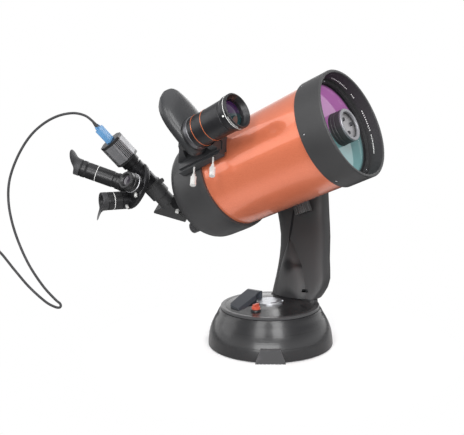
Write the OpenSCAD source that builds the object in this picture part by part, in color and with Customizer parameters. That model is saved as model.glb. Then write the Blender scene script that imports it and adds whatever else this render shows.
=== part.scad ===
// Catadioptric telescope, about 203 mm aperture, on a motorised single-arm altazimuth mount.
// It carries an alignment camera on the tube and a diagonal with a four-port eyepiece turret.
// Millimetres. Origin: centre of the base on the ground. +Z up. The tube lies in the X-Z plane and
// points towards +X. The fork arm stands on the +Y side.

/* [Base and turntable] */
// Radius of the base at the ground
base_r = 143; // [135:1:150]
// Radius of the turntable
table_r = 112.7; // [108:0.1:113]
// Height of the turntable's outer edge
table_h = 89.7; // [88:0.1:92]

/* [Fork arm] */
// Distance from the tube's plane to the arm's inner face at the head
arm_gap = 144.2; // [143:0.1:150]
// Thickness of the arm
arm_depth = 50; // [46:1:56]

/* [Optical tube] */
// Height of the tube axis above the ground, over the azimuth axis
tube_z = 414.3; // [405:0.1:425]
// Altitude of the tube at rest, in degrees
tube_tilt = 21.6; // [15:0.1:25]
// Outer radius of the tube
tube_r = 112.4; // [111:0.1:113]
// Position of the front rim along the tube axis
rim_s = 222.5; // [220:0.5:226]

/* [Finder] */
// Angle of the finder round the tube, from the top towards the open side
finder_angle = 60; // [55:1:65]
// Distance from the tube axis to the finder axis
finder_rho = 180; // [178:1:186]

/* [Eyepiece end] */
// Roll of the diagonal round the tube axis, from the top towards the open side
diagonal_roll = 37; // [20:1:50]
// Angle between the turret's spin axis and each port
port_tilt = 23.9; // [22:0.1:26]

/* [Hidden] */
$fn = 96;

black = [0.10, 0.10, 0.11];
charcoal = [0.22, 0.22, 0.23];
graphite = [0.28, 0.29, 0.31];
orange = [0.85, 0.38, 0.22];
signal = [0.90, 0.27, 0.12];
silver = [0.75, 0.76, 0.78];
steel = [0.60, 0.61, 0.63];
brass = [0.75, 0.60, 0.30];
glass = [0.45, 0.60, 0.62];
sky = [0.42, 0.66, 0.88];

// ---- shared geometry ----

// Cubic interpolation of column c in rows [position, value, value, ...]
function row_at(rows, z, i = 0) = (i >= len(rows) - 2 || z < rows[i + 1][0]) ? i : row_at(rows, z, i + 1);
function slope(rows, i, c) =
    let (a = max(i - 1, 0), b = min(i + 1, len(rows) - 1))
    (rows[b][c] - rows[a][c]) / (rows[b][0] - rows[a][0]);
function smooth(rows, z, c) =
    let (
        i = row_at(rows, z),
        w = rows[i + 1][0] - rows[i][0],
        u = (z - rows[i][0]) / w
    )
    (2 * u ^ 3 - 3 * u ^ 2 + 1) * rows[i][c] + (u ^ 3 - 2 * u ^ 2 + u) * w * slope(rows, i, c)
    + (3 * u ^ 2 - 2 * u ^ 3) * rows[i + 1][c] + (u ^ 3 - u ^ 2) * w * slope(rows, i + 1, c);

// Signed power, for superellipses
function spow(v, p) = sign(v) * abs(v) ^ p;
function oval(cx, cy, hx, hy, n, count) = [
    for (i = [0 : count - 1])
        let (a = 360 * i / count)
        [cx + hx * spow(cos(a), 2 / n), cy + hy * spow(sin(a), 2 / n)]
];
function at_height(points, z) = [for (p = points) [p[0], p[1], z]];

// Solid through a list of rings that have the same number of points
module loft(rings) {
    n = len(rings[0]);
    m = len(rings);
    polyhedron(
        points = [for (r = rings) each r],
        faces = concat(
            [[for (i = [0 : n - 1]) i]],
            [for (k = [0 : m - 2], i = [0 : n - 1])
                [k * n + i, (k + 1) * n + i, (k + 1) * n + (i + 1) % n, k * n + (i + 1) % n]],
            [[for (i = [n - 1 : -1 : 0]) (m - 1) * n + i]]
        )
    );
}

// Closed band through rings, with the last ring joined to the first
module loop_loft(rings) {
    n = len(rings[0]);
    m = len(rings);
    polyhedron(
        points = [for (r = rings) each r],
        faces = [
            for (k = [0 : m - 1], i = [0 : n - 1])
                let (above = (k + 1) % m, next = (i + 1) % n)
                [k * n + i, above * n + i, above * n + next, k * n + next]
        ]
    );
}

module ring(r_out, r_in, z0, z1) {
    difference() {
        translate([0, 0, z0]) cylinder(r = r_out, h = z1 - z0);
        translate([0, 0, z0 - 1]) cylinder(r = r_in, h = z1 - z0 + 2);
    }
}

// Spur gear blank with short straight teeth, its first gap on the local X axis
module spur(teeth, pitch_r, thick, bore_r) {
    step = 360 / teeth;
    difference() {
        linear_extrude(thick)
            polygon([
                for (i = [0 : teeth - 1])
                    for (q = [[0.27, -0.95], [0.40, 0.7], [0.60, 0.7], [0.73, -0.95]])
                        let (a = (i + q[0]) * step)
                        (pitch_r + q[1]) * [cos(a), sin(a)]
            ]);
        if (bore_r > 0) translate([0, 0, -1]) cylinder(r = bore_r, h = thick + 2);
    }
}

// Knurled grip: a cylinder with flutes cut round it
module grip(r, h, flutes, depth) {
    difference() {
        cylinder(r = r, h = h);
        for (i = [0 : flutes - 1])
            rotate([0, 0, 360 * i / flutes])
                translate([r + depth * 0.4, 0, -1])
                    cylinder(r = depth, h = h + 2, $fn = 16);
    }
}

// ---- frames ----
tube_y = 2.3;
pivot_s = -29;
mirror_s = -322;
turret_lift = 34;
turret_turn = 59.4;

// Tube frame: X is the tube's upper side, Y points to the open side, Z runs forward along the axis
module on_tube() {
    translate([0, tube_y, tube_z]) rotate([0, 90 - tube_tilt, 0]) rotate([0, 0, 180]) children();
}
// Pivot frame: Z runs along the altitude axis towards +Y, X forward along the tube, Y away from the top
module on_pivot() {
    on_tube() translate([0, 0, pivot_s]) rotate([90, 0, 0]) rotate([0, 0, 90]) children();
}
// Finder frame: X points outwards through the finder, Z forward
module on_finder() {
    on_tube() rotate([0, 0, finder_angle]) children();
}
// Diagonal frame: Z along the output, -X along the input
module on_diagonal() {
    on_tube() translate([0, 0, mirror_s]) rotate([0, 0, diagonal_roll]) rotate([0, 90, 0]) children();
}
// Turret frame: Z is the spin axis, the origin is where all port axes meet
module on_turret() {
    on_diagonal() translate([0, 0, turret_lift]) rotate([0, 0, turret_turn])
        rotate([0, port_tilt, 0]) children();
}
// Port k: Z along the port, X away from the spin axis. Port 0 is in line with the diagonal.
module on_port(k) {
    on_turret() rotate([0, 0, 180 + 90 * k]) rotate([0, port_tilt, 0]) children();
}

// ---- base ----
foot_azimuth = -55.4;
plate_z = 3;
plate_h = 6;
post_r = 15;
shell_wall = 4;
base_side = [
    [2, base_r], [14, base_r - 0.8], [28, base_r - 2.8], [44, base_r - 7.5],
    [58, base_r - 14], [70, base_r - 21], [78, base_r - 25], [83, base_r - 28.5]
];

module base_shell() {
    steps = 18;
    z_low = 2;
    z_top = 83;
    outer = [for (i = [0 : steps])
        let (z = z_low + (z_top - z_low) * i / steps) [smooth(base_side, z, 1), z]];
    inner = [for (i = [steps : -1 : 0])
        let (z = z_low + (z_top - shell_wall - z_low) * i / steps) [smooth(base_side, z, 1) - shell_wall, z]];
    color(charcoal)
        difference() {
            rotate_extrude()
                polygon(concat(outer, [[100, z_top], [100, z_top - shell_wall]], inner));
            // seam line above the feet
            ring(base_r + 2, base_r - 3.2, 27.6, 28.4);
            // pockets that the feet fill
            for (k = [0 : 2]) rotate([0, 0, foot_azimuth + 120 * k]) foot_solid(0.1);
        }
}

module foot_solid(grow) {
    translate([base_r - 12, 0, 0])
        rotate([90, 0, 90])
            linear_extrude(16 + grow)
                polygon([
                    [-32 - grow, -grow], [32 + grow, -grow], [20.5 + grow, 31 + grow], [-20.5 - grow, 31 + grow]
                ]);
}

module base_plate() {
    color(steel)
        difference() {
            union() {
                translate([0, 0, plate_z]) cylinder(r = base_r - shell_wall - 1, h = plate_h);
                // hub that rests on the tripod head
                cylinder(r = 22, h = 40);
                translate([0, 0, plate_z]) cylinder(r = post_r, h = 67);
            }
            for (k = [0 : 2]) rotate([0, 0, foot_azimuth + 120 * k]) foot_solid(0.1);
            // hole for the tripod's centre pin
            translate([0, 0, -1]) cylinder(r = 8, h = 26);
            // three tripod bolts
            for (k = [0 : 2]) rotate([0, 0, 4.6 + 120 * k]) translate([80, 0, 0]) cylinder(r = 5, h = 20);
        }
}

module base_feet() {
    color(graphite)
        for (k = [0 : 2]) rotate([0, 0, foot_azimuth + 120 * k])
            difference() {
                foot_solid(0);
                // the rubber tread under the foot
                for (y = [-24 : 8 : 24]) translate([base_r - 14, y - 1, -1]) cube([20, 2, 2]);
            }
}

gear_z = 40.2;
gear_thick = 6;
gear_pitch = 36;
pinion_pitch = 6;
mesh_distance = gear_pitch + pinion_pitch;
drive_azimuth = 205;

module azimuth_gear() {
    color(brass)
        rotate([0, 0, drive_azimuth]) translate([0, 0, gear_z]) spur(72, gear_pitch, gear_thick, post_r + 0.05);
}

module azimuth_bearing() {
    color(steel) ring(25, post_r + 0.05, 59, 69);
}

// ---- turntable ----
hub_in = 25.05;
hub_out = 31.5;
well_r = 31.6;
plinth_z = 94;

module turntable() {
    color(black)
        difference() {
            union() {
                rotate_extrude()
                    polygon([
                        [0, 74], [hub_out - 4, 74], [hub_in, 70], [hub_in, 57], [hub_out, 57], [hub_out, 83.6],
                        [94, 83.6], [94, 71], [98, 71], [98, 83.6], [table_r, 83.6],
                        [table_r, table_h - 1.2], [table_r - 1.2, table_h], [103.5, table_h],
                        [103.5, table_h - 1], [102, table_h - 1], [102, table_h], [88, table_h + 1.2],
                        [62, table_h + 3.9], [44, table_h + 4.4], [well_r, table_h + 4.4],
                        [well_r, 78], [0, 78]
                    ]);
                // plinth under the arm
                intersection() {
                    translate([0, 0, 84])
                        linear_extrude(plinth_z - 84)
                            polygon(oval(arm_x(94), arm_y(94), arm_hx(94) + 3, arm_depth / 2 + 1, arm_power, 64));
                    translate([0, 0, 80]) cylinder(r = table_r, h = 20);
                    translate([-200, 50, 80]) cube([400, 100, 20]);
                }
                // raised seat of the power knob
                translate([knob_x, knob_y, 86]) cylinder(r = 12, h = knob_seat - 86);
            }
            // seat of the control pod
            pod_solid(0.1);
            // bore under the power knob
            translate([knob_x, knob_y, 86]) cylinder(r = 5.1, h = 20);
        }
}

module battery_cover() {
    color(silver)
        difference() {
            union() {
                translate([0, 0, 91]) cylinder(r = well_r - 0.4, h = 5.6);
                translate([0, 0, 83]) cylinder(r = 26, h = 8);
            }
            translate([0, 0, 82]) cylinder(r = 23, h = 7);
            // finger slots in the rim
            for (a = [0, 180]) rotate([0, 0, a + 35]) translate([well_r - 4.5, -5, 95.2]) cube([5, 10, 3]);
        }
}

pod_slope = 11.8;

// Housing with a slope that rises to a flat top at the back, and a bevel along its right side
// The housing, or with grow the room it needs in the turntable
module pod_solid(grow = 0) {
    plan = [
        [-57, -74], [-53, -76.5], [-20, -89], [-16.5, -86], [-20, -50], [-23, -14], [-27, 8], [-33, 17], [-40, 21],
        [-57, 21], [-65, 17], [-69, 10], [-66, -26], [-60, -70]
    ];
    seat_z = 87.8 - grow;
    side_view = [[-95, seat_z], [-95, 92], [0, 111.8], [5, 113], [12, 113], [18, 109], [22, 100], [22, seat_z]];
    difference() {
        intersection() {
            linear_extrude(140) polygon(plan);
            translate([-100, 0, 0]) rotate([90, 0, 90]) linear_extrude(120) polygon(side_view);
        }
        translate([-20, -50, 101.4 + 3 * grow]) rotate([pod_slope, 0, 4]) translate([-8, -70, 0]) rotate([0, 32, 0])
            cube([40, 140, 30]);
    }
}

module control_pod() {
    color(graphite) difference() {
        pod_solid();
        // the lid lifts out beside it
        translate([0, 0, 80]) cylinder(r = well_r + 0.3, h = 60);
    }
}

knob_x = 11;
knob_y = -70;
knob_seat = 95.4;

// Rotary knob: a fluted disc with a finger bar across it
module power_knob() {
    color(signal)
        translate([knob_x, knob_y, 0])
            union() {
                translate([0, 0, 87]) cylinder(r = 5, h = 9);
                translate([0, 0, knob_seat + 0.1]) grip(9.5, 5.5, 14, 1);
                translate([-2.6, -9, 100]) cube([5.2, 18, 7]);
            }
}

module azimuth_motor() {
    color(steel) rotate([0, 0, drive_azimuth]) translate([mesh_distance, 0, 0]) union() {
        translate([0, 0, 52]) cylinder(r = 9, h = 31.5);
        translate([0, 0, 50]) cylinder(r = 4, h = 2);
    }
}

module azimuth_pinion() {
    color(brass)
        rotate([0, 0, drive_azimuth]) translate([mesh_distance, 0, 0]) rotate([0, 0, 165]) union() {
            translate([0, 0, gear_z - 0.5]) spur(12, pinion_pitch, gear_thick + 1, 0);
            translate([0, 0, gear_z]) cylinder(r = 2, h = 50 - gear_z);
        }
}

// ---- fork arm ----
arm_power = 4.5;
// height, centre x, half width, inner face y
arm_rows = [
    [94, 16, 61, 64], [112, 21, 66, 71.6], [132, 23, 68, 81], [180, 14, 63, 104], [230, 3, 63, 126], [280, -12, 67, 141],
    [320, -20, 70, tube_y + arm_gap], [404, -27, 71, tube_y + arm_gap], [444, -27, 60, tube_y + arm_gap],
    [462, -27, 44, tube_y + arm_gap + 2], [474, -27, 18, tube_y + arm_gap + 7]
];
arm_heights = [94, 104, 118, 136, 156, 178, 202, 228, 254, 280, 304, 330, 380, 412, 432, 448, 460, 468, 474];
function arm_x(z) = smooth(arm_rows, z, 1);
function arm_hx(z) = smooth(arm_rows, z, 2);
function arm_face(z) = smooth(arm_rows, z, 3);
function arm_thin(z) = z < 440 ? 0 : (z - 440) * (z - 440) / 74;
function arm_y(z) = arm_face(z) + arm_depth / 2;

module arm_loft(inset, z_low, z_top) {
    loft([
        for (z = arm_heights)
            let (h = min(max(z, z_low), z_top))
            at_height(oval(
                arm_x(z), arm_y(z), arm_hx(z) - inset, arm_depth / 2 - inset - arm_thin(z), arm_power, 32
            ), z_low + (z_top - z_low) * (z - 94) / (474 - 94))
    ]);
}

arm_wall = 3;
arm_foot = plinth_z + 0.2;

// Everything on the inner side of the seam between the two covers
module arm_inner_side(gap) {
    seam = 30;
    steps = [80, 130, 180, 230, 280, 320, 480];
    loft([
        for (z = steps)
            let (y = smooth(arm_rows, min(max(z, 94), 404), 3) + seam - gap)
            [[-200, y - 90, z], [200, y - 90, z], [200, y, z], [-200, y, z]]
    ]);
}

module arm_shell() {
    difference() {
        arm_loft(0, arm_foot, 474);
        arm_loft(arm_wall, arm_foot - 1, 470);
    }
}

// Tapered fairing on the lower inner face
module arm_fairing() {
    // height, centre x, half width, centre y, half depth
    rows = [
        [94, 13, 50, 76, 27], [130, 7, 42, 88, 26], [165, -3, 31, 103, 24], [195, -14, 17, 117, 20],
        [222, -25, 3, 129, 12]
    ];
    steps = 10;
    loft([
        for (i = [0 : steps])
            let (z = 94.2 + (222 - 94.2) * i / steps)
            at_height(oval(
                smooth(rows, z, 1), smooth(rows, z, 3) + 5, smooth(rows, z, 2), smooth(rows, z, 4), 2.2, 32
            ), z)
    ]);
}

socket_x = 51;
socket_z = 112;

module arm_inner_cover() {
    color(charcoal)
        difference() {
            union() {
                intersection() {
                    arm_shell();
                    arm_inner_side(0);
                }
                difference() {
                    arm_fairing();
                    arm_loft(arm_wall, arm_foot - 1, 470);
                }
            }
            // opening for the altitude shaft
            on_pivot() translate([0, 0, 130]) cylinder(r = 14, h = 40);
            // small socket near the foot
            translate([socket_x - 7, 55, socket_z - 3.5]) cube([14, 24, 7]);
        }
}

module arm_outer_cover() {
    color(charcoal)
        difference() {
            arm_shell();
            arm_inner_side(-0.1);
        }
}

// Position of the arm parts along the altitude axis, measured from the tube's plane
bearing_a = 149.5;
bearing_b = 174.5;
bearing_w = 8;
alt_gear_at = 160.5;

module arm_frame() {
    color(steel)
        difference() {
            union() {
                loft([
                    for (z = [arm_foot, 110, 130, 155, 180, 205, 230, 255, 280, 320, 400])
                        at_height(oval(arm_x(max(z, 94)), arm_y(max(z, 94)) + 7, 30, 4, 6, 24), z)
                ]);
                on_pivot() {
                    translate([0, 0, bearing_b]) cylinder(r = 41.5, h = bearing_w);
                    translate([0, 0, bearing_a]) cylinder(r = 41.5, h = bearing_w);
                    // pillars between the two rings, just outside the gear
                    for (a = [20, 160, 230, 310])
                        rotate([0, 0, a]) translate([39.3, 0, bearing_a + 1])
                            cylinder(r = 2, h = bearing_b - bearing_a + 1);
                }
                translate([arm_x(94) - 30, arm_y(94) - 8, arm_foot]) cube([60, 22, 6]);
            }
            on_pivot() {
                translate([0, 0, bearing_a - 40]) cylinder(r = 20, h = 120);
                rotate([0, 0, drive_alt]) translate([mesh_distance, 0, 164]) cylinder(r = 10.05, h = 60);
            }
        }
}

drive_alt = 90;

module altitude_bearings() {
    color(steel) on_pivot() {
        ring(19.98, 12.05, bearing_a, bearing_a + bearing_w);
        ring(19.98, 12.05, bearing_b, bearing_b + bearing_w);
    }
}

module altitude_motor() {
    color(steel)
        on_pivot() rotate([0, 0, drive_alt]) translate([mesh_distance, 0, 168.6]) cylinder(r = 10, h = 21);
}

module altitude_pinion() {
    color(brass)
        on_pivot() rotate([0, 0, drive_alt]) translate([mesh_distance, 0, 0]) rotate([0, 0, 165]) union() {
            translate([0, 0, alt_gear_at - 0.5]) spur(12, pinion_pitch, gear_thick + 1, 0);
            translate([0, 0, alt_gear_at - 2]) cylinder(r = 2, h = 10);
        }
}

module altitude_gear() {
    color(brass)
        on_pivot() rotate([0, 0, drive_alt]) translate([0, 0, alt_gear_at]) spur(72, gear_pitch, gear_thick, 12.02);
}

// ---- saddle and dovetail ----
bar_near = 113;
bar_far = 126;
bar_half = 22;
saddle_far = 135;

module altitude_shaft() {
    color(steel)
        on_pivot() union() {
            translate([0, 0, saddle_far + 0.1]) cylinder(r = 42, h = 7);
            translate([0, 0, saddle_far + 0.1]) cylinder(r = 12, h = 187 - saddle_far);
        }
}

knob_axis = 116.7;

module saddle() {
    color(charcoal)
        on_pivot() difference() {
            union() {
                translate([-45, -34, bar_far + 0.1]) cube([90, 68 + 20, saddle_far - bar_far - 0.1]);
                translate([-45, -34, bar_near + 2]) cube([90, 11.9, bar_far - bar_near]);
                // lug that carries the clamp screw
                translate([-14, 44, 106]) cube([28, 10, bar_far - 104]);
            }
            translate([0, 30, knob_axis]) rotate([-90, 0, 0]) cylinder(r = 4.1, h = 40);
        }
}

module clamp_jaw() {
    color(steel) on_pivot() translate([-35, bar_half + 0.1, bar_near + 1]) cube([70, 11, bar_far - bar_near - 1.1]);
}

module clamp_knob() {
    color(black)
        on_pivot() translate([0, 0, knob_axis]) rotate([-90, 0, 0]) union() {
            translate([0, 0, 35.6]) cylinder(r = 4, h = 64);
            translate([0, 0, 98]) grip(21, 27, 18, 2.2);
            translate([0, 0, 92]) cylinder(r1 = 12, r2 = 19, h = 6.1);
        }
}

module dovetail_bar() {
    color(black)
        on_tube() difference() {
            union() {
                translate([-bar_half, -bar_far, -96]) cube([2 * bar_half, bar_far - bar_near, 190]);
                for (z = [-96, 72]) translate([-bar_half, -bar_near - 1, z]) cube([2 * bar_half, 12, 22]);
            }
            translate([0, 0, -120]) cylinder(r = tube_r + 0.05, h = 300);
        }
}

// ---- tube and front end ----
seam_s = -101.3;
front_s = 162.8;
tube_wall = 2;
spigot_r = tube_r - tube_wall - 0.1;
glass_s = 180;
glass_h = 5;

module tube() {
    color(orange) on_tube() ring(tube_r, tube_r - tube_wall, seam_s, front_s);
}

module front_cell() {
    color(black)
        on_tube() difference() {
            rotate_extrude()
                polygon([
                    [101, 150], [spigot_r, 150], [spigot_r, front_s + 0.1], [117.2, front_s + 0.1],
                    [117.2, front_s + 3], [116.6, rim_s - 1.5], [115.2, rim_s], [111, rim_s],
                    [110, rim_s - 1], [109.6, glass_s], [101, glass_s]
                ]);
            // screws that hold the cell to the tube sit in these countersinks
            for (a = [30 : 60 : 330]) rotate([0, 0, a + 62]) translate([114.6, 0, 172.5]) rotate([0, 90, 0])
                cylinder(r = 2.6, h = 8);
        }
}

module corrector_lens() {
    color(glass) on_tube() ring(108.8, 30.2, glass_s + 0.1, glass_s + glass_h);
}

module retaining_ring() {
    color(black)
        on_tube() difference() {
            ring(109.3, 102.2, glass_s + glass_h + 0.1, glass_s + glass_h + 6);
            for (a = [15 : 60 : 345]) rotate([0, 0, a]) translate([105.7, 0, glass_s + glass_h + 3])
                cylinder(r = 1.6, h = 6);
        }
}

module secondary_housing() {
    color(black)
        on_tube() rotate_extrude()
            polygon([
                [28, glass_s - 5], [36, glass_s - 5], [36, glass_s], [30, glass_s], [30, glass_s + glass_h + 0.1],
                [35.6, glass_s + glass_h + 0.1], [35.6, 186.6], [34.6, 187], [35.2, 187.6],
                [35.2, 191], [34.4, 191.6], [34.4, 194], [35, 194.6], [35, 198], [34.2, 198.6], [34.2, 201],
                [34.8, 201.6], [34.8, 210.8], [28, 210.8]
            ]);
}

module secondary_ring() {
    color(silver) on_tube() rotate_extrude()
        polygon([[27.5, 210.9], [34.6, 210.9], [34.6, 214], [33.6, 215], [28.5, 215], [27.5, 214]]);
}

module secondary_plate() {
    color(silver)
        on_tube() difference() {
            translate([0, 0, 203]) cylinder(r = 27.9, h = 4);
            for (a = [0, 120, 240]) rotate([0, 0, a + 40]) translate([17, 0, 200]) cylinder(r = 2.05, h = 10);
        }
}

module collimation_screws() {
    color(charcoal)
        on_tube() for (a = [0, 120, 240]) rotate([0, 0, a + 40]) translate([17, 0, 0]) difference() {
            union() {
                translate([0, 0, 176]) cylinder(r = 2, h = 32);
                translate([0, 0, 207.1]) cylinder(r = 4, h = 3.5);
            }
            translate([0, 0, 208.5]) cylinder(r = 1.6, h = 4, $fn = 6);
        }
}

module secondary_mirror() {
    color(silver)
        on_tube() difference() {
            union() {
                translate([0, 0, 158]) cylinder(r = 26, h = 6);
                translate([0, 0, 164]) cylinder(r = 24, h = 20);
            }
            for (a = [0, 120, 240]) rotate([0, 0, a + 40]) translate([17, 0, 175]) cylinder(r = 2.05, h = 20);
        }
}

// ---- rear end ----
back_s = -215;
focus_u = -76;
focus_v = 44;
baffle_r = 20;
// distance behind the tube's centre, radius of the rear cell
cell_side = [
    [101.4, 118.3], [116, 120.3], [150, 120.6], [184, 119.6], [198, 114.5], [208, 106], [213, 99], [215, 94]
];

module rear_cell() {
    steps = 16;
    outer = [for (i = [0 : steps])
        let (s = 101.4 + (215 - 101.4) * i / steps) [smooth(cell_side, s, 1), -s]];
    color(charcoal)
        on_tube() difference() {
            rotate_extrude()
                polygon(concat(
                    [[103, -92], [spigot_r, -92], [spigot_r, -101.4]], outer,
                    [[33, back_s], [33, back_s - 5], [baffle_r + 0.05, back_s - 5],
                     [baffle_r + 0.05, -196], [33, -196], [33, -208], [94, -208], [108, -190], [108, -140], [103, -112]]
                ));
            translate([focus_u, focus_v, -230]) cylinder(r = 6.1, h = 40);
            // flat for the finder shoe's screws
            rotate([0, 0, finder_angle]) for (s = [-118, -106]) translate([100, 0, s]) rotate([0, 90, 0])
                cylinder(r = 2.1, h = 30);
        }
}

module baffle_tube() {
    color(black)
        on_tube() difference() {
            union() {
                translate([0, 0, back_s - 5]) cylinder(r = baffle_r, h = 120 + 5 + 40);
                translate([0, 0, back_s + 160]) cylinder(r1 = baffle_r, r2 = 15, h = 90);
            }
            translate([0, 0, back_s - 10]) cylinder(r = 16.5, h = 176);
            translate([0, 0, back_s + 165.9]) cylinder(r1 = 16.5, r2 = 13, h = 90);
        }
}

mirror_front = -140;

module primary_mirror() {
    color(silver)
        on_tube() difference() {
            translate([0, 0, mirror_front - 14]) cylinder(r = 101, h = 14);
            translate([0, 0, mirror_front - 20]) cylinder(r = 27.1, h = 30);
            // spherical hollow, deepest at the centre
            translate([0, 0, mirror_front + 812 - 5.5]) sphere(r = 812, $fn = 200);
        }
}

module mirror_carrier() {
    color(steel)
        on_tube() difference() {
            union() {
                translate([0, 0, mirror_front - 30]) cylinder(r = 27, h = 40);
                translate([0, 0, mirror_front - 18]) cylinder(r = 60, h = 3.9);
                translate([focus_u, focus_v, mirror_front - 30]) cylinder(r = 10, h = 15.9);
                hull() {
                    translate([0, 0, mirror_front - 24]) cylinder(r = 12, h = 6, $fn = 32);
                    translate([focus_u, focus_v, mirror_front - 24]) cylinder(r = 9, h = 6, $fn = 32);
                }
            }
            translate([0, 0, mirror_front - 60]) cylinder(r = baffle_r + 0.06, h = 90);
            translate([focus_u, focus_v, mirror_front - 60]) cylinder(r = 4.1, h = 60);
        }
}

module focus_knob() {
    color(charcoal)
        on_tube() translate([focus_u, focus_v, 0]) union() {
            translate([0, 0, back_s - 1.2 - 20]) grip(14, 20, 20, 1.3);
            translate([0, 0, back_s - 2]) cylinder(r = 6, h = 8);
            translate([0, 0, back_s - 2]) cylinder(r = 4, h = 58);
        }
}

back_end = -300;

module visual_back() {
    color(black)
        on_tube() difference() {
            union() {
                rotate([0, 0, 4]) translate([0, 0, -236]) grip(27, 15.9, 24, 1.4);
                translate([0, 0, -236]) cylinder(r = 25.4, h = 15.9);
                translate([0, 0, back_end]) cylinder(r = 20.5, h = 70);
                translate([0, 0, back_end]) cylinder(r = 22.5, h = 18);
            }
            translate([0, 0, back_end - 1]) cylinder(r = 16, h = 90);
            rotate([0, 0, 132]) translate([10, 0, back_end + 9]) rotate([0, 90, 0]) cylinder(r = 2.1, h = 20);
        }
}

// Thumbscrew along +X: thread from r0 to the head, head from r1 to r2
module thumbscrew(r0, r1, r2, head) {
    rotate([0, 90, 0]) union() {
        translate([0, 0, r0]) cylinder(r = 2, h = r1 - r0 + 1);
        translate([0, 0, r1]) cylinder(r = head * 0.6, h = 3);
        translate([0, 0, r1 + 3]) grip(head, r2 - r1 - 3, 12, head * 0.14);
    }
}

module visual_back_screw() {
    color(silver) on_tube() rotate([0, 0, 132]) translate([0, 0, back_end + 9]) thumbscrew(16.1, 23, 33, 4.6);
}

// ---- finder ----
shoe_low = 118;
shoe_top = 134;
screw_rear_s = -103;
screw_front_s = -45;
screw_rho = 129;
// sideways place of the dovetail foot
foot_y = 14;

module finder_shoe() {
    color(charcoal)
        on_finder() difference() {
            union() {
                translate([shoe_low, -20, -148]) cube([shoe_top - shoe_low, 56, 126]);
                // feet down to the tube
                translate([tube_r - 3, -18, -54]) cube([shoe_low - tube_r + 4, 38, 30]);
            }
            translate([127, foot_y - 11, -160]) cube([10, 22, 150]);
            cylinder_cut(-101.2, 100, tube_r + 0.1);
            cylinder_cut(-250, 148.9, 120.9);
            for (s = [screw_rear_s, screw_front_s])
                translate([screw_rho, foot_y, s]) rotate([-90, 0, 0]) cylinder(r = 2.1, h = 40);
        }
}

module cylinder_cut(z, h, r) {
    translate([0, 0, z]) cylinder(r = r, h = h);
}

barrel_r = 35;

module finder_bracket() {
    // outlines of [distance from the tube axis, position along it]
    web = [
        [134.1, -144], [134.1, -40], [148, -40], [152, -62], [170, -84], [182, -90], [184, -98], [176, -104], [142, -144]
    ];
    window_low = [[140, -119], [140, -96], [164, -96], [168, -101.5]];
    window_high = [[140, -91], [140, -68], [150, -68], [163, -87], [160, -91]];
    color(charcoal)
        on_finder() difference() {
            union() {
                translate([127.1, foot_y - 10.9, -144]) cube([10, 21.8, 120]);
                // front cradle under the barrel
                translate([134.1, -19, -41]) cube([22, 44, 17]);
                // rear web
                translate([134.1, -16, -144]) cube([5, 46, 120]);
                translate([0, 13, 0]) rotate([90, 0, 0]) linear_extrude(26) polygon(web);
            }
            for (w = [window_low, window_high])
                translate([0, 30, 0]) rotate([90, 0, 0]) linear_extrude(60) polygon(w);
            translate([finder_rho, 0, -57]) cylinder(r = barrel_r + 1.3, h = 80);
            finder_body_solid(0.3);
            for (s = [screw_rear_s, screw_front_s])
                translate([screw_rho, foot_y + 10, s]) rotate([-90, 0, 0]) cylinder(r = 3, h = 2);
        }
}

module finder_screw(s) {
    color(silver)
        on_finder() translate([screw_rho, foot_y, s]) rotate([0, 0, 90]) union() {
            rotate([0, 90, 0]) translate([0, 0, 11.2]) cylinder(r = 2, h = 32);
            rotate([0, 90, 0]) translate([0, 0, 40]) cylinder(r = 3.6, h = 8);
            rotate([0, 90, 0]) translate([0, 0, 47]) grip(6.4, 21, 14, 0.8);
        }
}

module finder_screw_rear() {
    finder_screw(screw_rear_s);
}

module finder_screw_front() {
    finder_screw(screw_front_s);
}

body_lean = 18;
body_s = -64;
// sideways slant of the housing, in millimetres per millimetre away from the tube
body_slant = -0.34;

module finder_body_solid(grow) {
    // distance from the barrel axis, half width, half thickness, shift along the tube
    rows = [
        [-42, 14, 8, -2], [-36, 26, 14, -1], [-22, 44, 17, 0], [0, 50, 20, 0], [30, 50, 20.6, -4.5],
        [55, 47, 19.8, -9], [75, 41, 16.8, -12], [87, 31, 11.4, -14.5], [94, 14, 5, -15.5]
    ];
    steps = 20;
    low = rows[0][0];
    translate([finder_rho, 0, body_s]) rotate([0, 0, -body_lean])
        loft([
            for (i = [0 : steps])
                let (q = low + (rows[8][0] - low) * (0.5 - 0.5 * cos(180 * i / steps)), off = body_slant * (q - low))
                [for (p = oval(0, 0, 1, 1, 2.5, 36))
                    [
                        q, off + (smooth(rows, q, 1) + grow) * p[0],
                        smooth(rows, q, 3) + (smooth(rows, q, 2) + grow) * p[1]
                    ]]
        ]);
}

module finder_body() {
    color(graphite)
        on_finder() difference() {
            finder_body_solid(0);
            translate([finder_rho, 0, -56]) cylinder(r = barrel_r + 1.2, h = 40);
        }
}

module finder_barrel() {
    color(black)
        on_finder() translate([finder_rho, 0, 0]) difference() {
            rotate_extrude()
                polygon([
                    [0, -55.8], [36, -55.8], [36, -42], [34.6, -41], [34.6, -30.2], [34, -30.2], [34, -28.8], [34.6, -28.8],
                    [34.6, -2], [34, -2], [34, -0.6], [34.6, -0.6], [35, 46], [33.8, 46.6], [33.8, 48.4], [35, 49],
                    [37.4, 56], [37.4, 71], [36.4, 72], [34, 72], [31, 66], [28.2, 62], [28.2, 52], [0, 52]
                ]);
            translate([0, 0, -20]) cylinder(r = 20, h = 90);
        }
}

module finder_rings() {
    color(signal)
        on_finder() translate([finder_rho, 0, 0]) {
            ring(35.1, 34.05, -30.1, -28.9);
            ring(35.1, 34.05, -1.9, -0.7);
        }
}

module finder_lens() {
    color(glass)
        on_finder() translate([finder_rho, 0, 0]) intersection() {
            translate([0, 0, 52.1]) cylinder(r = 28.1, h = 12);
            translate([0, 0, 60 - 90]) sphere(r = 90, $fn = 96);
        }
}

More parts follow.
